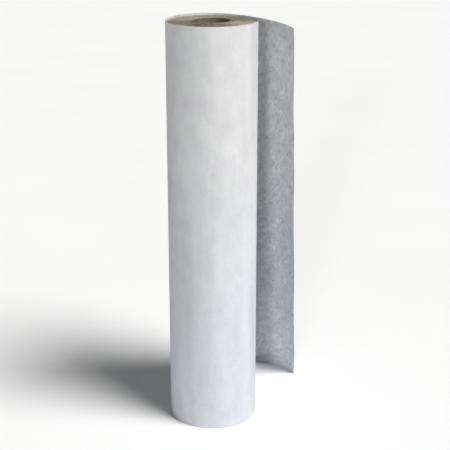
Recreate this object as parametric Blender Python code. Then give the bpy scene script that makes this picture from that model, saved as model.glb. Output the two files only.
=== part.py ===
"""Crack isolation membrane roll, standing on its end.

A three-layer sheet (facing fleece, membrane, backing fleece) is wound on a
paperboard core. The outer turn has sprung loose on the far side: it leaves the
roll at the left, passes behind it and ends free at the right. Its top edge
stays close to the roll, and its foot stands further out, so it leans.

Frame: metres, +Z up, -Y towards the viewer. The origin is under the middle of
the whole object's box, on the floor.
"""

import math

import bmesh
import bpy
from mathutils import Vector

# ---------------------------------------------------------------- dimensions
SHEET_WIDTH = 0.9144        # 36 in, and the roll's height
ROLL_R = 0.0993             # outer radius of the tight roll
SHEET_T = 0.0011            # facing + membrane + backing
FACING_T = 0.00028          # outer fleece
BACKING_T = 0.00028         # inner fleece
BOND_GAP = 0.00003          # between the bonded layers
PITCH = 0.00108             # one turn inside the roll, its fleeces pressed
LAST_PITCH = 0.0014         # under the last turn, with its running gap
NEXT_PITCH = 0.00125        # under the turn below the last one
TURN_T = 0.00078            # wound sheet, drawn thinner to keep its gap
GAP = 0.0003                # between neighbouring solids

BORE_R = 0.0381             # 3 in bore
LINER_T = 0.0007            # core's inner ply
CORE_BODY_T = 0.0030        # core's body plies
COVER_T = 0.0007            # core's outer ply
PLY_GAP = 0.0002
CORE_INSET = 0.0010         # the core ends this far inside the roll's ends

TAPE_T = 0.0002             # double-sided tape on the core
TAPE_W = 0.025
TAPE_INSET = 0.017
FIRST_TURNS = 2             # whole turns drawn as a spiral on the core
OUTER_TURNS = 3             # whole turns drawn as a spiral under the last one
PRESSED_GROUPS = (("03", "13"), ("14", "24"), ("25", "35"), ("36", "46"))

SEGMENTS = 48               # facets in one turn

LEAVE_ANGLE = 172.5         # where the outer turn leaves the roll, degrees
LOOSE_TOP_LENGTH = 0.4027   # loose part, along its top edge
LOOSE_FOOT_LENGTH = 0.4814  # loose part, along its foot
LOOSE_TOP_RADIUS = 0.1369   # the top edge is one arc
FOOT_FIRST_CURVE = 0.76     # 1/m, where the foot leaves the roll
FOOT_LAST_CURVE = 8.12      # 1/m, from FOOT_RAMP of its length on
FOOT_RAMP = 0.75
FOOT_LIFT = 0.0010          # the loose part's foot clears the floor

PANELS = 6                  # rigid panels of the loose part
PANEL_STEPS = 3             # facets in a panel
HINGE_GAP = 0.0008          # between neighbouring panels

# ------------------------------------------------------------------- colours
WHITE_FLEECE = (0.72, 0.74, 0.76, 1.0)
TAUPE_MEMBRANE = (0.27, 0.23, 0.17, 1.0)
GREY_FLEECE = (0.38, 0.39, 0.41, 1.0)
KRAFT_BOARD = (0.33, 0.24, 0.14, 1.0)
KRAFT_LINER = (0.40, 0.30, 0.19, 1.0)
TAPE_FILM = (0.62, 0.58, 0.46, 1.0)


def clear_objects():
    for found in list(bpy.data.objects):
        bpy.data.objects.remove(found, do_unlink=True)


def make_material(name, colour, roughness, metallic=0.0):
    material = bpy.data.materials.new(name)
    material.use_nodes = True
    shader = material.node_tree.nodes["Principled BSDF"]
    shader.inputs["Base Color"].default_value = colour
    shader.inputs["Roughness"].default_value = roughness
    shader.inputs["Metallic"].default_value = metallic
    material.diffuse_color = colour
    return material


# ---------------------------------------------------------- plan-view curves
def turn_radius(n):
    """Radius of the sheet's middle surface n turns in from where it leaves."""
    r = ROLL_R - SHEET_T / 2
    r -= LAST_PITCH * min(n, 1.0)
    if n > 1.0:
        r -= NEXT_PITCH * min(n - 1.0, 1.0)
    if n > 2.0:
        r -= PITCH * (n - 2.0)
    return r


def foot_curve(share):
    ramp = min(share / FOOT_RAMP, 1.0)
    return FOOT_FIRST_CURVE + (FOOT_LAST_CURVE - FOOT_FIRST_CURVE) * ramp


def top_curve(share):
    return 1.0 / LOOSE_TOP_RADIUS


def run_edge(length, curve, shares):
    """Follows an edge of the loose part in plan, turning clockwise from the
    roll's tangent. Returns (x, y, heading) at each share of its length."""
    leave = math.radians(LEAVE_ANGLE)
    radius = turn_radius(0.0)
    x, y = radius * math.cos(leave), radius * math.sin(leave)
    heading = leave - math.pi / 2
    steps = 1200
    step = length / steps
    track = [(x, y, heading)]
    for k in range(steps):
        turn = curve((k + 0.5) / steps) * step
        middle = heading - turn / 2
        x += math.cos(middle) * step
        y += math.sin(middle) * step
        heading -= turn
        track.append((x, y, heading))
    out = []
    for share in shares:
        place = min(max(share, 0.0), 1.0) * steps
        k = min(int(place), steps - 1)
        f = place - k
        a, b = track[k], track[k + 1]
        out.append(tuple(a[i] + (b[i] - a[i]) * f for i in range(3)))
    return out


def loose_station(share):
    """Top and foot points of the loose part's middle surface, with the normals
    that point out of the roll's curl."""
    tx, ty, t_head = run_edge(LOOSE_TOP_LENGTH, top_curve, [share])[0]
    fx, fy, f_head = run_edge(LOOSE_FOOT_LENGTH, foot_curve, [share])[0]
    across = math.hypot(fx - tx, fy - ty)
    drop = math.sqrt(SHEET_WIDTH ** 2 - across ** 2)
    foot = Vector((fx, fy, 0.0))
    top = Vector((tx, ty, drop))
    up = (top - foot).normalized()
    n_top = up.cross(Vector((math.cos(t_head), math.sin(t_head), 0.0))).normalized()
    n_foot = up.cross(Vector((math.cos(f_head), math.sin(f_head), 0.0))).normalized()
    return top, foot, n_top, n_foot, up


# ------------------------------------------------------------- mesh building
def add_object(name, bm, material, parent=None):
    if bm.calc_volume(signed=True) < 0:
        bmesh.ops.reverse_faces(bm, faces=bm.faces[:])
    mesh = bpy.data.meshes.new(name)
    bm.to_mesh(mesh)
    bm.free()
    made = bpy.data.objects.new(name, mesh)
    bpy.context.scene.collection.objects.link(made)
    mesh.materials.append(material)
    mesh.shade_smooth()
    mesh.set_sharp_from_angle(angle=math.radians(35))
    if parent is not None:
        made.parent = parent
        made.matrix_parent_inverse = parent.matrix_world.inverted()
    return made


def strip_mesh(sections):
    """Lofts sections of four points (outer top, inner top, inner foot, outer
    foot) into one closed strip. The outer and the inner side are split along the
    same diagonals, so layers of a twisted strip nest without touching."""
    bm = bmesh.new()
    rows = [[bm.verts.new(p) for p in section] for section in sections]
    for a, b in zip(rows, rows[1:]):
        for i in range(3):
            bm.faces.new((a[i], b[i], b[i + 1]))
            bm.faces.new((a[i], b[i + 1], a[i + 1]))
        bm.faces.new((a[3], b[3], a[0]))
        bm.faces.new((b[3], b[0], a[0]))
    first, last = rows[0], rows[-1]
    bm.faces.new((first[0], first[1], first[2]))
    bm.faces.new((first[0], first[2], first[3]))
    bm.faces.new((last[2], last[1], last[0]))
    bm.faces.new((last[3], last[2], last[0]))
    return bm


def ring_mesh(r_in, r_out, z_low, z_high):
    bm = bmesh.new()
    rows = []
    for k in range(SEGMENTS):
        a = math.radians(LEAVE_ANGLE) + 2 * math.pi * k / SEGMENTS
        c, s = math.cos(a), math.sin(a)
        rows.append([
            bm.verts.new((r_out * c, r_out * s, z_high)),
            bm.verts.new((r_in * c, r_in * s, z_high)),
            bm.verts.new((r_in * c, r_in * s, z_low)),
            bm.verts.new((r_out * c, r_out * s, z_low)),
        ])
    for k in range(SEGMENTS):
        a, b = rows[k], rows[(k + 1) % SEGMENTS]
        for i in range(4):
            j = (i + 1) % 4
            bm.faces.new((a[i], b[i], b[j], a[j]))
    return bm


def spiral_sections(turns, radius_at, out_t, in_t, z_low, z_high, direction=1.0,
                    start_angle=LEAVE_ANGLE):
    """Sections along a spiral. turns are counted from start_angle, radius_at
    gives the middle radius, out_t and in_t the offsets of the two faces."""
    sections = []
    for n in turns:
        a = math.radians(start_angle) + direction * 2 * math.pi * n
        r = radius_at(n)
        c, s = math.cos(a), math.sin(a)
        ro, ri = r + out_t, r + in_t
        sections.append([
            (ro * c, ro * s, z_high), (ri * c, ri * s, z_high),
            (ri * c, ri * s, z_low), (ro * c, ro * s, z_low),
        ])
    return sections


def turn_stations(first, last, end_gap_angle):
    """Whole facets between two turn counts, with a small gap left at each end."""
    stations = [first + end_gap_angle]
    k = math.floor(first * SEGMENTS) + 1
    while k < last * SEGMENTS - 1e-6:
        stations.append(k / SEGMENTS)
        k += 1
    stations.append(last - end_gap_angle)
    return stations


# ---------------------------------------------------------------- the layers
def layer_offsets():
    """Outer and inner offset of each layer from the sheet's middle surface."""
    half = SHEET_T / 2
    facing = (half, half - FACING_T)
    backing = (-half + BACKING_T, -half)
    membrane = (facing[1] - BOND_GAP, backing[0] + BOND_GAP)
    return {"facing": facing, "membrane": membrane, "backing": backing}


def build_core(materials):
    low, high = CORE_INSET, SHEET_WIDTH - CORE_INSET
    r0 = BORE_R
    r1 = r0 + LINER_T
    r2 = r1 + PLY_GAP
    r3 = r2 + CORE_BODY_T
    r4 = r3 + PLY_GAP
    r5 = r4 + COVER_T
    add_object("core_inner_ply", ring_mesh(r0, r1, low, high), materials["liner"])
    add_object("core_tube", ring_mesh(r2, r3, low, high), materials["board"])
    add_object("core_outer_ply", ring_mesh(r4, r5, low, high), materials["cover"])
    return r5


def build_start(core_r, materials):
    """The tape on the core and the first turns over it. Returns the radius that
    the first turns reach."""
    tape_in = core_r + GAP
    tape_out = tape_in + TAPE_T
    share = TAPE_W / (2 * math.pi * tape_in)
    count = max(2, round(share * SEGMENTS))
    stations = [count / SEGMENTS * k / count for k in range(count + 1)]
    middle = (tape_in + tape_out) / 2
    sections = spiral_sections(
        stations, lambda n: middle, TAPE_T / 2, -TAPE_T / 2,
        TAPE_INSET, SHEET_WIDTH - TAPE_INSET, direction=-1.0)
    add_object("start_tape", strip_mesh(sections), materials["tape"])

    first = tape_out + GAP + TURN_T / 2
    sections = spiral_sections(
        turn_stations(0.0, float(FIRST_TURNS), 0.0),
        lambda n: first + PITCH * n, TURN_T / 2, -TURN_T / 2,
        0.0, SHEET_WIDTH, direction=-1.0)
    add_object("first_turns_01_02", strip_mesh(sections), materials["laminate"])
    return first + PITCH * FIRST_TURNS + TURN_T / 2


def build_pressed(r_in, r_out, materials):
    """The pressed turns between the two spirals, in four sleeves."""
    count = len(PRESSED_GROUPS)
    wall = (r_out - r_in - GAP * (count - 1)) / count
    r = r_in
    for first, last in PRESSED_GROUPS:
        add_object(f"wound_turns_{first}_{last}",
                   ring_mesh(r, r + wall, 0.0, SHEET_WIDTH), materials["laminate"])
        r += wall + GAP


def build_outer(materials):
    """The turns drawn as a spiral under the last one, and the last one itself
    in its three layers. Returns the radius inside the spiral."""
    end_gap = (GAP / 2) / (2 * math.pi * ROLL_R)
    last_n = 1.0 + OUTER_TURNS
    sections = spiral_sections(
        turn_stations(1.0, last_n, end_gap), turn_radius,
        TURN_T / 2, -TURN_T / 2, 0.0, SHEET_WIDTH)
    add_object("outer_turns_47_49", strip_mesh(sections), materials["laminate"])

    hinge_gap = (HINGE_GAP / 2) / (2 * math.pi * ROLL_R)
    stations = turn_stations(0.0, 1.0, end_gap)
    stations[0] = hinge_gap
    for layer, (outer, inner) in layer_offsets().items():
        sections = spiral_sections(
            stations, turn_radius, outer, inner, 0.0, SHEET_WIDTH)
        add_object(f"last_wrap_{layer}", strip_mesh(sections), materials[layer])
    return turn_radius(last_n) - TURN_T / 2


def build_loose(materials):
    """The loose part of the outer turn: hinged panels, three layers each. Each
    panel's empty stands on its hinge line, half-way up."""
    length = (LOOSE_TOP_LENGTH + LOOSE_FOOT_LENGTH) / 2
    end = (HINGE_GAP / 2) / length
    parent = None
    for i in range(PANELS):
        first, last = i / PANELS, (i + 1) / PANELS
        top, foot, _, _, _ = loose_station(first)
        pivot = bpy.data.objects.new(f"hinge_{i + 1}", None)
        pivot.empty_display_size = 0.05
        pivot.location = (top + foot) / 2
        bpy.context.scene.collection.objects.link(pivot)
        bpy.context.view_layer.update()
        if parent is not None:
            world = pivot.matrix_world.copy()
            pivot.parent = parent
            pivot.matrix_parent_inverse = parent.matrix_world.inverted()
            pivot.matrix_world = world
            bpy.context.view_layer.update()
        stops = [first + (last - first) * k / PANEL_STEPS
                 for k in range(PANEL_STEPS + 1)]
        stops[0] += end
        if i < PANELS - 1:
            stops[-1] -= end
        for layer, (outer, inner) in layer_offsets().items():
            sections = []
            for share in stops:
                top, foot, n_top, n_foot, up = loose_station(share)
                low = []
                for offset in (inner, outer):
                    p = foot + n_foot * offset
                    low.append(p + up * ((FOOT_LIFT - p.z) / up.z))
                sections.append([top + n_top * outer, top + n_top * inner,
                                 low[0], low[1]])
            add_object(f"tail_{i + 1}_{layer}", strip_mesh(sections),
                       materials[layer], parent=pivot)
        parent = pivot


def centre_on_box():
    """Moves everything so that the origin is under the middle of the box."""
    bpy.context.view_layer.update()
    xs, ys = [], []
    for made in bpy.data.objects:
        if made.type == "MESH":
            for v in made.data.vertices:
                p = made.matrix_world @ v.co
                xs.append(p.x)
                ys.append(p.y)
    shift = Vector((-(min(xs) + max(xs)) / 2, -(min(ys) + max(ys)) / 2, 0.0))
    for made in bpy.data.objects:
        if made.parent is None:
            made.location += shift
    bpy.context.view_layer.update()
    return shift


def main():
    clear_objects()
    materials = {
        "facing": make_material("white_facing_fleece", WHITE_FLEECE, 0.92),
        "membrane": make_material("taupe_membrane", TAUPE_MEMBRANE, 0.70),
        "backing": make_material("grey_backing_fleece", GREY_FLEECE, 0.94),
        "laminate": make_material("wound_laminate", TAUPE_MEMBRANE, 0.85),
        "board": make_material("core_board", KRAFT_BOARD, 0.88),
        "cover": make_material("core_cover_paper", KRAFT_BOARD, 0.82),
        "liner": make_material("core_liner_paper", KRAFT_LINER, 0.84),
        "tape": make_material("start_tape_film", TAPE_FILM, 0.45),
    }
    core_r = build_core(materials)
    reached = build_start(core_r, materials)
    inside = build_outer(materials)
    build_pressed(reached + GAP, inside - GAP, materials)
    build_loose(materials)
    centre_on_box()


main()
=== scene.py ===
import math

import bpy
import numpy as np
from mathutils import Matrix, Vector


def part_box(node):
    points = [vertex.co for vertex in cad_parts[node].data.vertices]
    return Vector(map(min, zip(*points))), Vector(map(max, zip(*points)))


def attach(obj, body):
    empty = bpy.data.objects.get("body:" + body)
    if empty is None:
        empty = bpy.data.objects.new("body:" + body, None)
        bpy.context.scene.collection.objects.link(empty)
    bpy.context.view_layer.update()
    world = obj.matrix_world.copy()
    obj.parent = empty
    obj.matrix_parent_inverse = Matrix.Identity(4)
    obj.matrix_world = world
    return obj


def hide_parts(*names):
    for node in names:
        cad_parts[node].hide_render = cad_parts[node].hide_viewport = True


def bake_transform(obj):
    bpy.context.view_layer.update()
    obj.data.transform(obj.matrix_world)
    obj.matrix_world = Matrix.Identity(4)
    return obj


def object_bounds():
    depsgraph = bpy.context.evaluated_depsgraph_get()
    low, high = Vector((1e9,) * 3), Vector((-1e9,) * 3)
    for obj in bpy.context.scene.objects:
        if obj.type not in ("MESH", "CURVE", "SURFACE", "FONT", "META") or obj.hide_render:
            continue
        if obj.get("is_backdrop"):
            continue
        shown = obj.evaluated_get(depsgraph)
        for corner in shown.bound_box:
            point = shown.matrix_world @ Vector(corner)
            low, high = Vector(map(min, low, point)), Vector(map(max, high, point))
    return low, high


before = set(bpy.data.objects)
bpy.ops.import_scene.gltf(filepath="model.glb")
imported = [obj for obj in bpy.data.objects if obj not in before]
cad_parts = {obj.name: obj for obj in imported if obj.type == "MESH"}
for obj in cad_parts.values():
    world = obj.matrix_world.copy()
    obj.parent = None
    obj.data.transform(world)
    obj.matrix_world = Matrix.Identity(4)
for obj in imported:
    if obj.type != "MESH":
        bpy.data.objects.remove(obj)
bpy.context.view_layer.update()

scene = bpy.context.scene
scene.view_settings.view_transform = "Standard"
scene.view_settings.look = "None"

# ------------------------------------------------------------------ dimensions
# The same as the model's own, in metres, but that the loose part's foot is nearer
# to the floor.
SHEET_WIDTH = 0.9144
ROLL_R = 0.0993
SHEET_T = 0.0011
FACING_T = 0.00028
BACKING_T = 0.00028
BOND_GAP = 0.00003
LAST_PITCH = 0.0014
NEXT_PITCH = 0.00125
OUTER_PITCH = 0.00112
TURNS = 50
FIRST_R = 0.0441
LEAVE = math.radians(172.5)
TOP_LENGTH = 0.4027
FOOT_LENGTH = 0.4814
TOP_RADIUS = 0.1369
FOOT_FIRST_CURVE = 0.76
FOOT_LAST_CURVE = 8.12
FOOT_RAMP = 0.75
FOOT_LIFT = 0.0003
PANELS = 6

BORE_R = 0.0381
LINER_OUT = 0.0388
BODY_IN, BODY_OUT = 0.0390, 0.0420
COVER_IN, COVER_OUT = 0.0422, 0.0429
CORE_INSET = 0.001

low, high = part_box("core_tube")
AXIS = np.array([(low.x + high.x) / 2, (low.y + high.y) / 2, 0.0])

# ---------------------------------------------------------------------- camera
CAMERA_AT = (0.0278, -2.4825, 1.28196)      # from the roll's axis on the floor
CAMERA_PITCH = 18.39
CAMERA_LENS = 93.36

camera_data = bpy.data.cameras.new("camera")
camera_data.sensor_width = 36.0
camera_data.lens = CAMERA_LENS
camera_data.clip_start, camera_data.clip_end = 0.05, 100.0
camera = bpy.data.objects.new("camera", camera_data)
scene.collection.objects.link(camera)
camera.location = [float(a + b) for a, b in zip(AXIS, CAMERA_AT)]
camera.rotation_euler = (math.radians(90.0 - CAMERA_PITCH), 0.0, 0.0)
scene.camera = camera


# --------------------------------------------------------------- small ripples
def ripple(u, v, seed, u_waves, v_waves, count=14):
    """A smooth, repeatable unevenness of about unit size over u and v, which are
    lengths in metres. The waves' lengths lie between the two given in each pair."""
    rng = np.random.RandomState(seed)
    total = np.zeros(np.broadcast(u, v).shape)
    for _ in range(count):
        ku = 2 * math.pi / rng.uniform(*u_waves) * rng.choice([-1.0, 1.0])
        kv = 2 * math.pi / rng.uniform(*v_waves)
        total = total + np.sin(ku * u + kv * v + rng.uniform(0, 2 * math.pi))
    return total / math.sqrt(count / 2.0)


def smooth_step(x, a, b):
    t = np.clip((np.asarray(x, float) - a) / (b - a), 0.0, 1.0)
    return t * t * (3.0 - 2.0 * t)


# -------------------------------------------------------------- mesh from loops
def loft(name, loops, u, v, closed=False, caps=True):
    """Makes one closed mesh from rings of points, loops[station, point]. A ring
    runs up the outer face, over the top edge, down the inner face and back under
    the foot. u and v give each point's place on the flat sheet in metres."""
    stations, points = loops.shape[:2]
    index = np.arange(stations * points).reshape(stations, points)
    a = index if closed else index[:-1]
    b = np.roll(index, -1, axis=0) if closed else index[1:]
    quads = np.stack([a, np.roll(a, -1, axis=1), np.roll(b, -1, axis=1), b], axis=-1)
    faces = [quads.reshape(-1, 4)]
    tris = []
    if caps and not closed:
        for ring, flip in ((index[0], True), (index[-1], False)):
            # the end is closed by a ladder between the outer and the inner face
            left = list(range(0, (points + 1) // 2))
            right = list(range(points - 1, (points - 1) // 2, -1))
            steps = min(len(left), len(right))
            for k in range(steps - 1):
                quad = [ring[left[k]], ring[left[k + 1]], ring[right[k + 1]], ring[right[k]]]
                faces.append(np.array([quad[::-1] if flip else quad]))
            if points % 2:
                tri = [ring[left[steps - 1]], ring[left[steps]], ring[right[steps - 1]]]
                tris.append(tri[::-1] if flip else tri)
    co = loops.reshape(-1, 3)
    quads = np.concatenate(faces)
    corners = [quads.ravel()]
    sizes = [np.full(len(quads), 4)]
    if tris:
        corners.append(np.array(tris).ravel())
        sizes.append(np.full(len(tris), 3))
    corners, sizes = np.concatenate(corners), np.concatenate(sizes)
    starts = np.concatenate([[0], np.cumsum(sizes)[:-1]])

    mesh = bpy.data.meshes.new(name)
    mesh.vertices.add(len(co))
    mesh.vertices.foreach_set("co", co.astype(np.float32).ravel())
    mesh.loops.add(len(corners))
    mesh.loops.foreach_set("vertex_index", corners.astype(np.int32))
    mesh.polygons.add(len(sizes))
    mesh.polygons.foreach_set("loop_start", starts.astype(np.int32))
    mesh.polygons.foreach_set("loop_total", sizes.astype(np.int32))
    mesh.update(calc_edges=True)
    mesh.validate()

    flat = mesh.uv_layers.new(name="sheet")
    uv = np.stack([np.broadcast_to(u, (stations, points)),
                   np.broadcast_to(v, (stations, points))], axis=-1).reshape(-1, 2)
    at = np.zeros(len(mesh.loops), np.int32)
    mesh.loops.foreach_get("vertex_index", at)
    flat.data.foreach_set("uv", uv[at].astype(np.float32).ravel())
    if volume(mesh) < 0:
        mesh.flip_normals()
    mesh.shade_smooth()
    mesh.set_sharp_from_angle(angle=math.radians(15))
    made = bpy.data.objects.new(name, mesh)
    scene.collection.objects.link(made)
    return made


def volume(mesh):
    mesh.calc_loop_triangles()
    co = np.zeros(len(mesh.vertices) * 3, np.float32)
    mesh.vertices.foreach_get("co", co)
    co = co.reshape(-1, 3).astype(float)
    tri = np.zeros(len(mesh.loop_triangles) * 3, np.int32)
    mesh.loop_triangles.foreach_get("vertices", tri)
    a, b, c = (co[tri.reshape(-1, 3)[:, k]] for k in range(3))
    return float((a * np.cross(b, c)).sum() / 6)


# ------------------------------------------------------------- material helper
class Finish:
    """A Principled material with short calls for its nodes."""

    def __init__(self, name):
        self.material = bpy.data.materials.new(name)
        self.material.use_nodes = True
        self.tree = self.material.node_tree
        self.shader = self.tree.nodes["Principled BSDF"]

    def put(self, socket, value):
        if isinstance(value, bpy.types.NodeSocket):
            self.tree.links.new(value, socket)
        elif value is not None:
            socket.default_value = value

    def add(self, kind, attributes=None, **inputs):
        node = self.tree.nodes.new(kind)
        for key, value in (attributes or {}).items():
            setattr(node, key, value)
        for key, value in inputs.items():
            self.put(node.inputs[key.replace("_", " ")], value)
        return node

    def math(self, operation, a, b=None, c=None, clamp=False):
        node = self.tree.nodes.new("ShaderNodeMath")
        node.operation = operation
        node.use_clamp = clamp
        for socket, value in zip(node.inputs, (a, b, c)):
            self.put(socket, value)
        return node.outputs[0]

    def flat(self, u_scale, v_scale, turn=0.0, warp=None):
        """The place on the flat sheet, scaled and turned. u_scale and v_scale are
        features per metre; warp shifts the place by a small vector first."""
        uv = self.add("ShaderNodeUVMap", {"uv_map": "sheet"}).outputs["UV"]
        if warp is not None:
            uv = self.total(uv, warp)
        turned = self.add("ShaderNodeMapping", {"vector_type": "POINT"}, Vector=uv,
                          Rotation=(0.0, 0.0, math.radians(turn)))
        return self.add("ShaderNodeMapping", {"vector_type": "POINT"},
                        Vector=turned.outputs[0],
                        Scale=(u_scale, v_scale, 1.0)).outputs[0]

    def total(self, a, b):
        """The sum of two vectors."""
        node = self.add("ShaderNodeVectorMath", {"operation": "ADD"})
        self.put(node.inputs[0], a)
        self.put(node.inputs[1], b)
        return node.outputs[0]

    def place(self, scale):
        """The place in the model's own frame, scaled."""
        where = self.add("ShaderNodeTexCoord").outputs["Object"]
        return self.add("ShaderNodeMapping", {"vector_type": "POINT"}, Vector=where,
                        Scale=(scale, scale, scale)).outputs[0]

    def noise(self, vector, detail=3.0, rough=0.5, distortion=0.0, scale=1.0):
        return self.add("ShaderNodeTexNoise", None, Vector=vector, Scale=scale,
                        Detail=detail, Roughness=rough,
                        Distortion=distortion).outputs[0]

    def span(self, value, a, b, c, d, smooth=False):
        node = self.add("ShaderNodeMapRange",
                        {"interpolation_type": "SMOOTHSTEP" if smooth else "LINEAR"})
        for key, number in (("From Min", a), ("From Max", b), ("To Min", c), ("To Max", d)):
            node.inputs[key].default_value = number
        self.tree.links.new(value, node.inputs["Value"])
        return node.outputs[0]

    def mix(self, factor, a, b, kind="MIX"):
        node = self.tree.nodes.new("ShaderNodeMix")
        node.data_type = "RGBA"
        node.blend_type = kind
        self.put(node.inputs[0], factor)
        self.put(node.inputs[6], a)
        self.put(node.inputs[7], b)
        return node.outputs[2]

    def tone(self, colour, factor):
        node = self.add("ShaderNodeVectorMath", {"operation": "SCALE"})
        self.put(node.inputs[0], colour)
        self.put(node.inputs["Scale"], factor)
        return node.outputs[0]

    def bump(self, height, distance, strength=1.0, under=None):
        node = self.add("ShaderNodeBump", None, Height=height, Distance=distance,
                        Strength=strength)
        if under is not None:
            self.tree.links.new(under, node.inputs["Normal"])
        return node.outputs[0]

    def finish(self, colour, roughness, normal=None, sheen=0.0, specular=0.5):
        self.put(self.shader.inputs["Base Color"], colour)
        self.put(self.shader.inputs["Roughness"], roughness)
        if normal is not None:
            self.tree.links.new(normal, self.shader.inputs["Normal"])
        self.shader.inputs["Sheen Weight"].default_value = sheen
        self.shader.inputs["Sheen Roughness"].default_value = 0.5
        self.shader.inputs["Specular IOR Level"].default_value = specular
        return self.material


def add_up(f, *terms):
    """The sum of several values."""
    total = terms[0]
    for term in terms[1:]:
        total = f.math("ADD", total, term)
    return total


def fibres(f, warp, turns, across, along, seed_shift):
    """Thin curved fibres lying in several directions, from 0 to 1."""
    total = None
    for k, turn in enumerate(turns):
        moved = f.add("ShaderNodeMapping", {"vector_type": "POINT"},
                      Vector=f.flat(across, along, turn, warp),
                      Location=(seed_shift + 7.3 * k, 3.1 * k, 0.0)).outputs[0]
        line = f.noise(moved, detail=1.0, rough=0.4)
        line = f.span(line, 0.56, 0.70, 0.0, 1.0, smooth=True)
        total = line if total is None else f.math("MAXIMUM", total, line)
    return total


def fleece(name, colour_a, colour_b, cloud, mottle, streak, dashes, foot_tint_and_shade,
           foot_reach, rough, shift, scale=1.0, crinkle=0.0, painted_shade_near_roll=0.0):
    """Bonded nonwoven fleece: a web of fine fibres that is thicker in some places
    and thinner in others. The foot tint tints its lower part, fully from the second
    place along the sheet in foot_reach and, by the share in its third value, at the
    first; on the backing this tint is painted shade, darker and bluer at the foot.
    The last argument is painted shade too: it darkens the loose part from the same
    place towards the roll, a band of painted shade beside the roll."""
    f = Finish(name)
    bend = f.noise(f.flat(34.0 * scale, 22.0 * scale), detail=2.0)
    stray = f.add("ShaderNodeTexNoise", None, Vector=f.flat(70.0, 70.0), Scale=1.0,
                  Detail=1.5)
    warp = f.add("ShaderNodeVectorMath", {"operation": "SCALE"})
    f.tree.links.new(stray.outputs["Color"], warp.inputs[0])
    warp.inputs["Scale"].default_value = 0.012
    warp = warp.outputs[0]

    web = fibres(f, warp, (8, 47, 84, 121, 158), 1500.0, 90.0, shift)
    fine = fibres(f, warp, (26, 68, 103, 141, 177), 2600.0, 150.0, shift + 40.0)
    clouds = f.noise(f.flat(34.0 * scale, 19.0 * scale), detail=3.0, rough=0.55,
                     distortion=0.4)
    patches = f.noise(f.flat(96.0 * scale, 56.0 * scale), detail=4.0, rough=0.6,
                      distortion=0.3)
    bands = f.noise(f.flat(24.0, 2.6), detail=2.0, rough=0.5)
    wide = f.noise(f.flat(9.0, 4.0), detail=2.0, rough=0.5)
    dash = f.noise(f.flat(420.0, 75.0), detail=1.0, rough=0.4)
    dark_dash = f.span(dash, 0.28, 0.37, 1.0, 0.0, smooth=True)
    light_dash = f.span(dash, 0.64, 0.72, 0.0, 1.0, smooth=True)
    bare = f.span(f.noise(f.flat(11.0, 8.0), detail=2.0), 0.40, 0.62, 0.0, 1.0, smooth=True)

    terms = [
        f.span(clouds, 0.25, 0.75, 0.985 - cloud, 0.985 + cloud),
        f.span(patches, 0.25, 0.75, -mottle, mottle),
        f.span(bands, 0.3, 0.7, -streak, streak),
        f.span(wide, 0.3, 0.7, -streak * 0.7, streak * 0.7),
        f.math("MULTIPLY", web, 0.065),
        f.math("MULTIPLY", fine, 0.040),
        f.math("MULTIPLY", f.math("MULTIPLY", dark_dash, bare), -dashes),
        f.math("MULTIPLY", light_dash, dashes * 0.5),
    ]
    height = f.math("ADD", f.math("MULTIPLY", web, 0.6), f.math("MULTIPLY", fine, 0.4))
    normal = f.bump(height, 0.00009, 0.9)
    if crinkle:
        # loose loops of the web's long fibres, pressed flat when the sheet was made
        for step, (across, along, turn, tone) in enumerate(
                ((62.0, 30.0, 10.0, 1.0), (88.0, 40.0, -14.0, 0.8), (74.0, 36.0, 24.0, -1.2))):
            where = f.add("ShaderNodeMapping", {"vector_type": "POINT"},
                          Vector=f.flat(across, along, turn, warp),
                          Location=(5.7 * step + shift, 2.9 * step, 0.0)).outputs[0]
            off = f.math("ABSOLUTE", f.math("SUBTRACT", f.noise(where, detail=1.5, rough=0.5,
                                                                distortion=0.6), 0.5))
            line = f.span(off, 0.008, 0.050, 1.0, 0.0, smooth=True)
            here = f.noise(f.flat(38.0 + 8.0 * step, 30.0, 40.0 * step), detail=2.0)
            line = f.math("MULTIPLY", line, f.span(here, 0.48, 0.60, 0.0, 1.0, smooth=True))
            terms.append(f.math("MULTIPLY", line, crinkle * tone))
            normal = f.bump(line, 0.00012, 0.6, normal)
    tone = add_up(f, *terms)
    spot = f.add("ShaderNodeSeparateXYZ", None, Vector=f.flat(1.0, 1.0))
    inner = f.span(spot.outputs["X"], foot_reach[0], foot_reach[1], 0.0, 1.0, smooth=True)
    # the foot tint: on the backing it is painted shade, darker and bluer towards the foot
    lower = f.math("MULTIPLY", f.span(spot.outputs["Y"], 0.08, 0.72, 1.0, 0.0, smooth=True),
                   f.span(inner, 0.0, 1.0, foot_reach[2], 1.0))
    # painted shade: a darker band on the loose part beside the roll
    if painted_shade_near_roll:
        loose = f.span(spot.outputs["X"], 0.0, 0.06, 0.0, -painted_shade_near_roll, smooth=True)
        tone = f.math("ADD", tone, f.math("MULTIPLY", inner, loose))
    base = f.mix(f.span(bend, 0.35, 0.65, 0.0, 1.0), colour_a, colour_b)
    base = f.mix(lower, base, f.mix(1.0, base, foot_tint_and_shade, "MULTIPLY"))
    colour = f.tone(base, tone)
    normal = f.bump(f.math("ADD", clouds, patches), 0.00035, 0.5, normal)
    roughness = f.math("ADD", f.span(clouds, 0.25, 0.75, rough - 0.05, rough + 0.03),
                       f.math("MULTIPLY", web, 0.03))
    return f.finish(colour, roughness, normal, sheen=0.03, specular=0.15)


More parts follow.
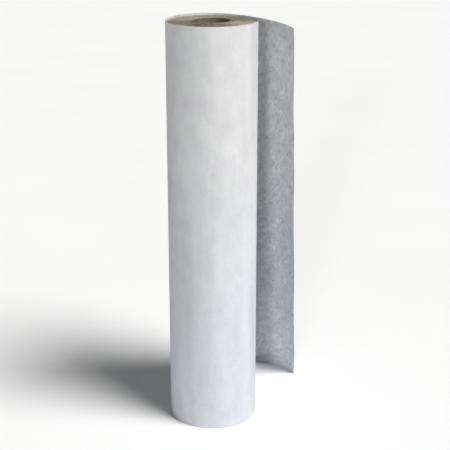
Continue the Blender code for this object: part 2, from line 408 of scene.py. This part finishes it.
def cut_edge(name, colour_a, colour_b, rough, shift, wound=False):
    """The sheet's layers as they show at the roll's cut ends: flattened, and marked
    by the knife and by handling. In the wound turns each turn has its own tone, so
    that the end shows as rings. The turns nearest the core carry darker specks and
    the front of the end a darker patch: both are painted shade of the gaps between
    the turns."""
    f = Finish(name)
    grain = f.noise(f.place(900.0 + shift), detail=3.0, rough=0.6)
    ticks = f.noise(f.flat(700.0, 60.0), detail=2.0, rough=0.5)
    blotch = f.noise(f.place(95.0), detail=3.0)
    terms = [f.span(grain, 0.3, 0.7, 0.90, 1.10), f.span(ticks, 0.3, 0.7, -0.10, 0.10)]
    if wound:
        by_turn = f.noise(f.flat(3.4, 0.0), detail=2.0, rough=0.6)
        along = f.noise(f.flat(42.0, 0.0), detail=3.0, rough=0.6)
        where = f.add("ShaderNodeTexCoord").outputs["Object"]
        level = f.add("ShaderNodeMapping", {"vector_type": "POINT"}, Vector=where,
                      Location=(-float(AXIS[0]), -float(AXIS[1]), 0.0),
                      Scale=(1.0, 1.0, 0.0)).outputs[0]
        radius = f.add("ShaderNodeVectorMath", {"operation": "LENGTH"})
        f.tree.links.new(level, radius.inputs[0])
        radius = radius.outputs["Value"]
        bands = f.noise(f.add("ShaderNodeCombineXYZ", None, X=radius).outputs[0],
                        detail=2.0, rough=0.5, scale=150.0)
        stray = f.noise(f.place(70.0), detail=4.0, rough=0.6)
        spots = f.noise(f.flat(95.0, 0.0), detail=2.0, rough=0.5)
        # painted shade: darker specks on the turns nearest the core, for the gaps between the
        # loose inner turns
        shaken = f.math("ADD", f.span(stray, 0.25, 0.75, -0.012, 0.012), radius)
        wear_and_gap_shade = f.span(shaken, 0.048, 0.088, 1.0, 0.0, smooth=True)
        # painted shade: a darker speckled patch at the front of the end, for the gaps between
        # the inner turns there
        patch = f.add("ShaderNodeVectorMath", {"operation": "LENGTH"})
        f.tree.links.new(f.add("ShaderNodeMapping", {"vector_type": "POINT"}, Vector=level,
                               Location=(0.0, 1.95, 0.0), Scale=(19.0, 30.0, 0.0)).outputs[0],
                         patch.inputs[0])
        patch = add_up(f, patch.outputs["Value"], f.span(stray, 0.25, 0.75, -0.28, 0.28),
                       f.span(spots, 0.25, 0.75, -0.22, 0.22))
        painted_gap_shade = f.span(patch, 0.45, 1.35, 1.0, 0.0, smooth=True)
        terms += [
            f.span(by_turn, 0.3, 0.7, -0.16, 0.16),
            f.span(along, 0.3, 0.7, -0.07, 0.07),
            f.span(bands, 0.3, 0.7, -0.09, 0.09),
            f.math("MULTIPLY", wear_and_gap_shade, f.span(spots, 0.36, 0.60, -0.24, 0.06)),
            f.math("MULTIPLY", painted_gap_shade, f.span(spots, 0.34, 0.66, -0.74, -0.20)),
        ]
    else:
        terms.append(f.span(f.noise(f.place(38.0), detail=4.0, rough=0.6),
                            0.3, 0.7, -0.10, 0.10))
    tone = add_up(f, *terms)
    base = f.mix(f.span(blotch, 0.38, 0.62, 0.0, 1.0), colour_a, colour_b)
    normal = f.bump(f.math("ADD", grain, ticks), 0.00008, 0.7)
    roughness = f.span(grain, 0.3, 0.7, rough - 0.06, rough + 0.06)
    return f.finish(f.tone(base, tone), roughness, normal, specular=0.2)


def board(name, colour_a, colour_b, rough, seam=None, shift=0.0):
    """Kraft paper or board: short brown fibres, with the helical joint of the wound
    paper strip where seam gives its width and place."""
    f = Finish(name)
    fibre = f.noise(f.flat(900.0, 160.0, 24.0 + shift), detail=3.0, rough=0.6)
    cross = f.noise(f.flat(700.0, 130.0, 112.0 + shift), detail=3.0, rough=0.6)
    cloud = f.noise(f.flat(60.0, 60.0), detail=4.0, rough=0.6)
    speck = f.span(f.noise(f.flat(1300.0, 900.0), detail=1.0), 0.66, 0.74, 0.0, 1.0)
    tone = add_up(
        f,
        f.span(cloud, 0.25, 0.75, 0.90, 1.10),
        f.span(fibre, 0.3, 0.7, -0.07, 0.07),
        f.span(cross, 0.3, 0.7, -0.05, 0.05),
        f.math("MULTIPLY", speck, -0.18),
    )
    height = f.math("ADD", fibre, cross)
    if seam is not None:
        width, pitch, round_it = seam
        spot = f.add("ShaderNodeSeparateXYZ", None, Vector=f.flat(1.0, 1.0))
        turn = f.math("DIVIDE", spot.outputs["X"], round_it)
        rise = f.math("DIVIDE", spot.outputs["Y"], pitch)
        along = f.math("FRACT", f.math("ADD", f.math("SUBTRACT", rise, turn), 10.0))
        off = f.math("ABSOLUTE", f.math("SUBTRACT", along, 0.5))
        line = f.span(off, 0.0, width / pitch, 1.0, 0.0, smooth=True)
        tone = f.math("ADD", tone, f.math("MULTIPLY", line, -0.42))
        height = f.math("ADD", height, f.math("MULTIPLY", line, -2.5))
    base = f.mix(f.span(cloud, 0.35, 0.65, 0.0, 1.0), colour_a, colour_b)
    normal = f.bump(height, 0.00006, 0.8)
    roughness = f.span(fibre, 0.3, 0.7, rough - 0.05, rough + 0.05)
    return f.finish(f.tone(base, tone), roughness, normal, specular=0.3)


def film(name, colour_a, colour_b):
    """Double-sided tape: a cloudy film with adhesive."""
    f = Finish(name)
    cloud = f.noise(f.place(60.0), detail=4.0, rough=0.6)
    grain = f.noise(f.place(800.0), detail=2.0)
    base = f.mix(f.span(cloud, 0.35, 0.65, 0.0, 1.0), colour_a, colour_b)
    tone = f.span(grain, 0.3, 0.7, 0.93, 1.07)
    roughness = f.span(cloud, 0.3, 0.7, 0.35, 0.55)
    return f.finish(f.tone(base, tone), roughness, f.bump(grain, 0.00004, 0.6))


FACING = fleece("facing_fleece", (0.594, 0.590, 0.602, 1), (0.610, 0.614, 0.606, 1),
                cloud=0.050, mottle=0.014, streak=0.045, dashes=0.035,
                foot_tint_and_shade=(0.970, 1.000, 1.085, 1), foot_reach=(-0.08, -0.26, 0.60),
                rough=0.90, shift=0.0)
# the backing's foot tint and its darker band beside the roll are painted shade
BACKING = fleece("backing_fleece", (0.650, 0.659, 0.674, 1), (0.692, 0.698, 0.704, 1),
                 cloud=0.080, mottle=0.120, streak=0.035, dashes=0.300,
                 foot_tint_and_shade=(0.74, 0.76, 0.86, 1), foot_reach=(0.375, 0.315, 0.55),
                 rough=0.92, shift=17.0, scale=1.25, crinkle=0.17, painted_shade_near_roll=0.09)
MEMBRANE = cut_edge("membrane_polymer", (0.245, 0.205, 0.155, 1), (0.285, 0.245, 0.190, 1),
                    0.62, 0.0)
# the wound edges are darker and browner than the faces: flattened cut edges, and painted shade
# of the narrow gaps between the turns
WOUND_FACING = cut_edge("wound_facing_edge", (0.440, 0.402, 0.330, 1),
                        (0.500, 0.456, 0.386, 1), 0.88, 31.0, wound=True)
WOUND_MEMBRANE = cut_edge("wound_membrane_edge", (0.206, 0.168, 0.118, 1),
                          (0.247, 0.205, 0.150, 1), 0.62, 57.0, wound=True)
WOUND_BACKING = cut_edge("wound_backing_edge", (0.352, 0.319, 0.260, 1),
                         (0.407, 0.373, 0.312, 1), 0.88, 83.0, wound=True)
LINER = board("core_liner_paper", (0.165, 0.135, 0.080, 1), (0.205, 0.172, 0.108, 1), 0.80,
              seam=(0.0012, 0.088, 2 * math.pi * BORE_R))
BODY = board("core_board", (0.235, 0.198, 0.148, 1), (0.280, 0.238, 0.182, 1), 0.86, shift=9.0)
COVER = board("core_cover_paper", (0.215, 0.178, 0.128, 1), (0.255, 0.214, 0.158, 1), 0.82,
              seam=(0.0012, 0.094, 2 * math.pi * COVER_OUT), shift=31.0)
TAPE = film("start_tape_film", (0.60, 0.56, 0.44, 1), (0.66, 0.62, 0.50, 1))


# -------------------------------------------------------------- the wound sheet
def spiral_radius(n):
    """Middle radius of the sheet n turns in from where it leaves the roll."""
    n = np.asarray(n, float)
    r = ROLL_R - SHEET_T / 2 - LAST_PITCH * np.minimum(n, 1.0)
    r = r - NEXT_PITCH * np.clip(n - 1.0, 0.0, 1.0)
    r = r - OUTER_PITCH * np.clip(n - 2.0, 0.0, 2.0)
    at_four = ROLL_R - SHEET_T / 2 - LAST_PITCH - NEXT_PITCH - 2 * OUTER_PITCH
    inner_pitch = (at_four - FIRST_R) / (TURNS - 4.0)
    return r - inner_pitch * np.clip(n - 4.0, 0.0, None)


def spiral_length(n):
    """Length of sheet between the place where it leaves the roll and n turns in."""
    steps = np.linspace(0.0, TURNS, TURNS * 64 + 1)
    r = spiral_radius(steps)
    run = np.concatenate([[0.0], np.cumsum((r[1:] + r[:-1]) / 2 * 2 * math.pi / 64)])
    return np.interp(n, steps, run)


def round_ring(radius, angle, z):
    """Points at a radius and angle about the roll's axis."""
    return np.stack([AXIS[0] + radius * np.cos(angle),
                     AXIS[1] + radius * np.sin(angle),
                     np.broadcast_to(z, np.broadcast(radius, angle, z).shape)], axis=-1)


LAYERS = {"facing": (SHEET_T / 2, SHEET_T / 2 - FACING_T),
          "membrane": (SHEET_T / 2 - FACING_T - BOND_GAP, -SHEET_T / 2 + BACKING_T + BOND_GAP),
          "backing": (-SHEET_T / 2 + BACKING_T, -SHEET_T / 2)}
WOUND_LAYERS = {"facing": (0.00052, 0.00027), "membrane": (0.00026, -0.00026),
                "backing": (-0.00027, -0.00052)}


def wound_edges(n):
    """Heights of the wound sheet's top and foot edges n turns in, from the last turn
    inwards. Each turn's edges stand a little higher or lower than its neighbours'."""
    angle = LEAVE + 2 * math.pi * n
    u = -spiral_length(n)
    turn = np.floor(n - 1.0 + 1e-9)
    rng = np.random.RandomState(11)
    steps = rng.uniform(-1.0, 1.0, TURNS + 2)
    share = n - 1.0 - turn
    k = turn.astype(int)
    per = steps[k] * (1 - share) + steps[k + 1] * share
    groups = np.interp(n, np.linspace(1.0, TURNS, 12), rng.uniform(-1.0, 1.0, 12))
    depth = 0.0013 + 0.0026 * np.exp(-(n - 1.0) / 2.2) + 0.00035 * groups
    per = per * (1.0 + 0.7 * smooth_step(n, 30.0, 46.0))
    depth = depth + 0.0005 * (1.0 + np.sin(angle))       # the end is cut a little askew
    top_drop = depth + 0.00030 * per + 0.00018 * ripple(u, 0 * u, 21, (0.05, 0.4), (1, 2))
    foot_rise = 0.0003 + 0.00014 * per + 0.00010 * ripple(u, 0 * u, 22, (0.05, 0.4), (1, 2))
    return SHEET_WIDTH - np.maximum(top_drop, 0.0001), np.maximum(foot_rise, 0.00002)


def wound_layer(layer, material):
    """One layer of all the turns under the last one, as one long spiral strip."""
    per_turn = 96
    n = 1.0 + (TURNS - 1.0) * np.arange((TURNS - 1) * per_turn + 1) / ((TURNS - 1) * per_turn)
    angle = LEAVE + 2 * math.pi * n
    r = spiral_radius(n)
    u = -spiral_length(n)
    outer, inner = WOUND_LAYERS[layer]
    top, foot = wound_edges(n)
    fray = {"facing": 0.00016, "membrane": 0.00004, "backing": 0.00013}[layer]
    seed = {"facing": 31, "membrane": 41, "backing": 51}[layer]
    sink = {"facing": 0.00010, "membrane": 0.0, "backing": 0.00016}[layer]
    rag = ripple(u, 0 * u, seed, (0.010, 0.045), (1, 2), 10)
    crown_top = top - sink + fray * (0.6 + 0.5 * rag)
    crown_foot = foot + 0.5 * sink + fray * 0.3
    ro, ri, rm = r + outer, r + inner, r + (outer + inner) / 2
    loops = np.stack([
        round_ring(ro, angle, foot + sink),
        round_ring(ro, angle, top - sink),
        round_ring(rm, angle, crown_top),
        round_ring(ri, angle, top - sink),
        round_ring(ri, angle, foot + sink),
        round_ring(rm, angle, crown_foot),
    ], axis=1)
    v = np.stack([foot, top, crown_top, top, foot, crown_foot], axis=1)
    made = loft(f"wound_{layer}", loops, u[:, None], v)
    made.data.materials.append(material)
    return made, float(spiral_length(TURNS) - spiral_length(1.0))


def last_turn_shape(n, v):
    """How far the last turn stands off its true spiral, in metres. It is still at
    both ends of the turn."""
    u = -spiral_length(n)
    size = smooth_step(n, 0.0, 0.08) * smooth_step(1.0 - n, 0.0, 0.08)
    long_way = ripple(u, v, 61, (0.035, 0.11), (0.5, 1.6), 12)
    soft = ripple(u, v, 62, (0.05, 0.16), (0.07, 0.25), 16)
    return size * (0.00011 * long_way + 0.00007 * soft)


def last_turn_layer(layer, material):
    around, rows = 176, 56
    # along the sheet towards its free end the turn count falls from 1 to 0
    n = np.linspace(1.0, 0.0, around + 1)
    angle = LEAVE + 2 * math.pi * n
    heights = np.linspace(0.0, 1.0, rows)
    outer, inner = LAYERS[layer]
    u = -spiral_length(n)
    fray = {"facing": 0.00014, "membrane": 0.00003, "backing": 0.00012}[layer]
    seed = {"facing": 71, "membrane": 81, "backing": 91}[layer]
    rag = fray * ripple(u, 0 * u, seed, (0.008, 0.05), (1, 2), 12)
    sway = 0.00012 * ripple(u, 0 * u, 101, (0.12, 0.6), (1, 2), 6)
    size = smooth_step(n, 0.0, 0.05)
    top = SHEET_WIDTH - 0.00025 + size * (sway + rag * 0.5)
    foot = 0.00035 + size * (0.4 * sway + 0.3 * rag)
    # its inner end comes down to the edges of the turns that it covers
    sunk = smooth_step(n, 0.80, 1.0)
    next_top, next_foot = wound_edges(np.array([1.0]))
    top = top + sunk * (next_top[0] - (SHEET_WIDTH - 0.00025))
    foot = np.maximum(foot + sunk * (next_foot[0] - 0.00035), 0.00002)
    z = foot[:, None] + (top - foot)[:, None] * heights[None, :]
    off = last_turn_shape(n[:, None], z)
    r = spiral_radius(n)[:, None] + off
    ang = angle[:, None] + 0 * z
    rim_out, rim_in = r[:, -1], r[:, 0]
    mid = (outer + inner) / 2
    loops = np.concatenate([
        round_ring(r + outer, ang, z),
        round_ring((rim_out + mid)[:, None], ang[:, :1], (top + fray * 0.5)[:, None]),
        round_ring((r + inner)[:, ::-1], ang, z[:, ::-1]),
        round_ring((rim_in + mid)[:, None], ang[:, :1], (foot - 0.00001)[:, None]),
    ], axis=1)
    v = np.concatenate([z, top[:, None], z[:, ::-1], foot[:, None]], axis=1)
    made = loft(f"last_turn_{layer}", loops, u[:, None], v)
    made.data.materials.append(material)
    return made


# --------------------------------------------------------------- the loose part
def edge_track(length, curve):
    """Plan-view points and headings along an edge of the loose part."""
    steps = 1200
    step = length / steps
    turn = curve((np.arange(steps) + 0.5) / steps) * step
    turned = np.concatenate([[0.0], np.cumsum(turn)])
    heading = LEAVE - math.pi / 2 - turned
    middle = heading[:-1] - turn / 2
    r = float(spiral_radius(0.0))
    x = np.concatenate([[0.0], np.cumsum(np.cos(middle) * step)]) + r * math.cos(LEAVE)
    y = np.concatenate([[0.0], np.cumsum(np.sin(middle) * step)]) + r * math.sin(LEAVE)
    return x + AXIS[0], y + AXIS[1], heading


TOP_TRACK = edge_track(TOP_LENGTH, lambda s: np.full_like(s, 1.0 / TOP_RADIUS))
FOOT_TRACK = edge_track(
    FOOT_LENGTH, lambda s: FOOT_FIRST_CURVE
    + (FOOT_LAST_CURVE - FOOT_FIRST_CURVE) * np.minimum(s / FOOT_RAMP, 1.0))


def along_track(track, share):
    place = np.clip(share, 0.0, 1.0) * (len(track[0]) - 1)
    return [np.interp(place, np.arange(len(a)), a) for a in track]


def loose_stations(share):
    """Top and foot points of the loose part's middle surface, its two normals and
    the direction up the sheet, at shares of its length."""
    share = np.asarray(share, float)
    tx, ty, th = along_track(TOP_TRACK, share)
    fx, fy, fh = along_track(FOOT_TRACK, share)
    drop = np.sqrt(SHEET_WIDTH ** 2 - (fx - tx) ** 2 - (fy - ty) ** 2)
    top = np.stack([tx, ty, drop], axis=-1)
    foot = np.stack([fx, fy, 0 * drop], axis=-1)
    up = top - foot
    up /= np.linalg.norm(up, axis=-1, keepdims=True)
    normals = []
    for heading in (th, fh):
        ahead = np.stack([np.cos(heading), np.sin(heading), 0 * heading], axis=-1)
        normal = np.cross(up, ahead)
        normals.append(normal / np.linalg.norm(normal, axis=-1, keepdims=True))
    return top, foot, normals[0], normals[1], up


MEAN_LENGTH = (TOP_LENGTH + FOOT_LENGTH) / 2


def loose_shape(share, v):
    """How far the loose part stands off its ruled surface, in metres: slow soft
    waves, and a slight flutter near the free edge. Still where it leaves the roll."""
    u = share * MEAN_LENGTH
    grown = smooth_step(share, 0.0, 0.12)
    # a little more of the bend lies where the sheet is bent when it is opened
    bent = 0.00028 * np.cos(2 * math.pi * PANELS * np.minimum(share, 1.0 - 0.5 / PANELS))
    soft = ripple(u, v, 111, (0.06, 0.20), (0.10, 0.40), 14)
    small = ripple(u, v, 112, (0.03, 0.07), (0.05, 0.14), 16)
    end = smooth_step(share, 0.72, 1.0)
    flutter = ripple(0 * u, v, 113, (1, 2), (0.09, 0.33), 7)
    return grown * (bent + 0.00035 * soft + 0.00010 * small) + end * 0.00035 * flutter


def loose_layer(number, first, last, layer, material):
    rows = 84
    span = last - first
    fine = 0.0011 / MEAN_LENGTH
    count = max(3, int(round(span * MEAN_LENGTH / 0.0062)))
    share = np.concatenate([[first], np.linspace(first + fine, last - fine, count), [last]])
    heights = np.linspace(0.0, 1.0, rows)
    top, foot, n_top, n_foot, up = loose_stations(share)
    outer, inner = LAYERS[layer]
    fray = {"facing": 0.00016, "membrane": 0.00004, "backing": 0.00014}[layer]
    seed = {"facing": 121, "membrane": 131, "backing": 141}[layer]
    u = share * MEAN_LENGTH
    grown = smooth_step(share, 0.0, 0.10)
    rag_top = grown * fray * ripple(u, 0 * u, seed, (0.008, 0.05), (1, 2), 12)
    rag_foot = grown * fray * ripple(u, 0 * u, seed + 1, (0.008, 0.05), (1, 2), 12)

    s = share[:, None] + 0 * heights[None, :]
    w = heights[None, :] + 0 * share[:, None]
    normal = n_foot[:, None, :] * (1 - w[..., None]) + n_top[:, None, :] * w[..., None]
    normal /= np.linalg.norm(normal, axis=-1, keepdims=True)
    off = loose_shape(s, w * SHEET_WIDTH)

    def side(offset, lift_top, lift_foot):
        """The face that lies offset from the middle surface."""
        a = foot + normal[:, 0] * (offset + off[:, 0])[:, None]
        a = a + up * ((FOOT_LIFT + lift_foot - a[:, 2]) / up[:, 2])[:, None]
        b = top + normal[:, -1] * (offset + off[:, -1])[:, None] + up * lift_top[:, None]
        ends = a[:, None, :] * (1 - w[..., None]) + b[:, None, :] * w[..., None]
        true = (foot[:, None, :] * (1 - w[..., None]) + top[:, None, :] * w[..., None]
                + normal * (offset + off)[..., None])
        bulge = true - (true[:, :1] * (1 - w[..., None]) + true[:, -1:] * w[..., None])
        return ends + bulge

    zero = 0 * share
    out_side = side(outer, zero + rag_top * 0.4 - 0.00025, np.maximum(rag_foot, 0.0) * 0.3)
    in_side = side(inner, zero + rag_top * 0.4 - 0.00025, np.maximum(rag_foot, 0.0) * 0.3)
    mid = side((outer + inner) / 2, rag_top + fray * 0.6 - 0.00025, zero)
    if last >= 1.0:
        # the free edge is cut by hand: the fleeces fray a little beyond the membrane
        ahead = out_side[-1] - out_side[-2]
        ahead /= np.linalg.norm(ahead, axis=-1, keepdims=True)
        rag = fray * (0.4 + ripple(0 * heights, heights * SHEET_WIDTH, seed + 2,
                                   (1, 2), (0.006, 0.05), 14))
        for face in (out_side, in_side):
            face[-1] += ahead * (rag - 0.0003)[:, None]
    loops = np.concatenate([out_side, mid[:, -1:], in_side[:, ::-1], mid[:, :1]], axis=1)
    height = w * SHEET_WIDTH
    v = np.concatenate([height, height[:, -1:], height[:, ::-1], height[:, :1]], axis=1)
    made = loft(f"tail_{layer}_{number}", loops, u[:, None], v)
    made.data.materials.append(material)
    return made


# ------------------------------------------------------------------ the core
def core_ply(name, r_in, r_out, plies, material, seed, turn_round):
    """A paper tube. Its ends show the edges of its plies, each a little higher or
    lower than the next, and rise and fall a little around the tube."""
    around, rows = 128, 26
    angle = 2 * math.pi * np.arange(around) / around
    rng = np.random.RandomState(seed)
    steps = plies * 2 + 1
    across = np.linspace(0.0, 1.0, steps)
    bumps = np.where(np.arange(steps) % 2 == 0, -0.00012, 0.00006)
    bumps = bumps + rng.uniform(-0.00003, 0.00003, steps)
    bumps[0] = bumps[-1] = -0.00018
    top, foot = SHEET_WIDTH - CORE_INSET, CORE_INSET
    heights = np.concatenate([[0.0, 0.004, 0.02], np.linspace(0.06, 0.94, rows - 6),
                              [0.98, 0.996, 1.0]])
    loops, vs = [], []
    wear_and_gap_shade = 0.00008 * ripple(angle * r_out, 0 * angle, seed + 5, (0.012, 0.06), (1, 2), 10)
    wear_and_gap_shade = wear_and_gap_shade * np.minimum(1.0, 0.5 + 0.5 * np.cos(angle) ** 2)
    z_low = foot + 0.0002 + 0 * heights
    z = foot + (top - foot) * heights
    z = np.clip(z, foot - bumps[-1], top + bumps[-1])
    for a, w in zip(angle, wear_and_gap_shade):
        out_wall = round_ring(r_out + 0 * z, a + 0 * z, z)
        in_wall = round_ring(r_in + 0 * z, a + 0 * z, z[::-1])
        radii = r_out + (r_in - r_out) * across[1:-1]
        top_edge = round_ring(radii, a + 0 * radii, top + bumps[1:-1][::-1] + w)
        foot_edge = round_ring(radii[::-1], a + 0 * radii, foot - bumps[1:-1] - w * 0.5)
        loops.append(np.concatenate([out_wall, top_edge, in_wall, foot_edge]))
        vs.append(np.concatenate([z, top + 0 * radii, z[::-1], foot + 0 * radii]))
    loops = np.array(loops)
    u = (angle * turn_round)[:, None]
    made = loft(name, loops, u, np.array(vs), closed=True)
    fix_wrap(made, 2 * math.pi * turn_round)
    made.data.materials.append(material)
    return made


def fix_wrap(made, round_it):
    """Carries u on past the full turn in the faces that close the ring."""
    layer = made.data.uv_layers["sheet"]
    uv = np.zeros(len(made.data.loops) * 2, np.float32)
    layer.data.foreach_get("uv", uv)
    uv = uv.reshape(-1, 4, 2)
    wide = np.ptp(uv[:, :, 0], axis=1) > round_it / 2
    part = uv[wide]
    part[:, :, 0] = np.where(part[:, :, 0] < round_it / 2, part[:, :, 0] + round_it,
                             part[:, :, 0])
    uv[wide] = part
    layer.data.foreach_set("uv", uv.ravel())


core_liner = core_ply("core_liner", BORE_R, LINER_OUT, 2, LINER, 5, BORE_R)
core_board_tube = core_ply("core_board_plies", BODY_IN, BODY_OUT, 7, BODY, 6, BODY_OUT)
core_cover_tube = core_ply("core_cover", COVER_IN, COVER_OUT, 2, COVER, 7, COVER_OUT)
for piece, node, slot in ((core_liner, "core_inner_ply", "core_liner"),
                          (core_board_tube, "core_tube", "core_board"),
                          (core_cover_tube, "core_outer_ply", "core_cover")):
    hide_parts(node)
    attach(piece, "roll")

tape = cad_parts["start_tape"]
tape.data.materials.clear()
tape.data.materials.append(TAPE)

WOUND_NODES = ("first_turns_01_02", "wound_turns_03_13", "wound_turns_14_24",
               "wound_turns_25_35", "wound_turns_36_46", "outer_turns_47_49")
for layer, material in (("facing", WOUND_FACING), ("membrane", WOUND_MEMBRANE),
                        ("backing", WOUND_BACKING)):
    piece, length = wound_layer(layer, material)
    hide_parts(*WOUND_NODES)
    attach(piece, "roll")

SLOTS = {"facing": ("facing_fleece", FACING), "membrane": ("membrane", MEMBRANE),
         "backing": ("backing_fleece", BACKING)}
for layer, (slot, material) in SLOTS.items():
    piece = last_turn_layer(layer, material)
    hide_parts(f"last_wrap_{layer}")
    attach(piece, "roll")

# The loose part is made in pieces that each reach across one hinge,
# from the middle of one panel to the middle of the next.
for k in range(1, PANELS + 2):
    first = max(0.0, (k - 1.5) / PANELS)
    last = min(1.0, (k - 0.5) / PANELS)
    for layer, (slot, material) in SLOTS.items():
        piece = loose_layer(k, first, last, layer, material)
        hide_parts(f"tail_{min(k, PANELS)}_{layer}")
        if k <= PANELS:
            top, foot, _, _, up = (a[0] for a in loose_stations([(k - 1.0) / PANELS]))
            _, _, th = along_track(TOP_TRACK, (k - 1.0) / PANELS)
            _, _, fh = along_track(FOOT_TRACK, (k - 1.0) / PANELS)
            ahead = np.array([math.cos(th) + math.cos(fh), math.sin(th) + math.sin(fh), 0.0])
            ahead -= up * (ahead @ up)
            ahead /= np.linalg.norm(ahead)
            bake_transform(piece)
        else:
            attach(piece, f"tail_{PANELS}")

# ---------------------------------------------------------------------- stage
floor_mesh = bpy.data.meshes.new("floor")
HALF = 40.0
floor_mesh.from_pydata([(-HALF, -HALF, 0), (HALF, -HALF, 0), (HALF, HALF, 0), (-HALF, HALF, 0)],
                       [], [(0, 1, 2, 3)])
floor = bpy.data.objects.new("floor", floor_mesh)
scene.collection.objects.link(floor)
floor.location.z = -0.0002
floor_finish = Finish("pale_floor")
floor_tone = floor_finish.span(floor_finish.noise(floor_finish.place(2.0), detail=2.0),
                               0.3, 0.7, 0.99, 1.01)
floor.data.materials.append(floor_finish.finish(
    floor_finish.tone((0.86, 0.86, 0.86), floor_tone), 0.9, specular=0.1))
floor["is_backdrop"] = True

world = bpy.data.worlds.new("studio")
scene.world = world
world.use_nodes = True
air = world.node_tree
sky = air.nodes["Background"]                      # what lights the object
sky.inputs["Color"].default_value = (0.92, 0.97, 1.0, 1.0)
sky.inputs["Strength"].default_value = 0.035
backdrop = air.nodes.new("ShaderNodeBackground")   # the studio wall beyond the floor
backdrop.inputs["Color"].default_value = (0.905, 0.905, 0.90, 1.0)
backdrop.inputs["Strength"].default_value = 1.0
seen = air.nodes.new("ShaderNodeLightPath")
either = air.nodes.new("ShaderNodeMixShader")
air.links.new(seen.outputs["Is Camera Ray"], either.inputs[0])
air.links.new(sky.outputs[0], either.inputs[1])
air.links.new(backdrop.outputs[0], either.inputs[2])
air.links.new(either.outputs[0], air.nodes["World Output"].inputs["Surface"])


def soft_light(name, azimuth, elevation, spread, strength, colour=(1, 1, 1)):
    """Even light from a wide soft source far away, spread degrees across. Azimuth
    is measured from the camera's side towards the right."""
    data = bpy.data.lights.new(name, "SUN")
    data.angle = math.radians(spread)
    data.energy = strength * math.pi
    data.color = colour
    made = bpy.data.objects.new(name, data)
    scene.collection.objects.link(made)
    a, e = math.radians(azimuth), math.radians(elevation)
    away = Vector((math.sin(a) * math.cos(e), -math.cos(a) * math.cos(e), math.sin(e)))
    made.location = Vector((float(AXIS[0]), float(AXIS[1]), 0.5)) + away * 4.0
    made.rotation_euler = (-away).to_track_quat("-Z", "Y").to_euler()
    return made


soft_light("key", 60.0, 55.0, 30.0, 1.19, (1.0, 0.995, 0.985))
soft_light("fill", -11.0, 12.0, 8.0, 0.262, (0.94, 0.97, 1.0))
soft_light("rear", 180.0, 40.0, 24.0, 0.08, (1.0, 1.0, 1.0))

low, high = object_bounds()
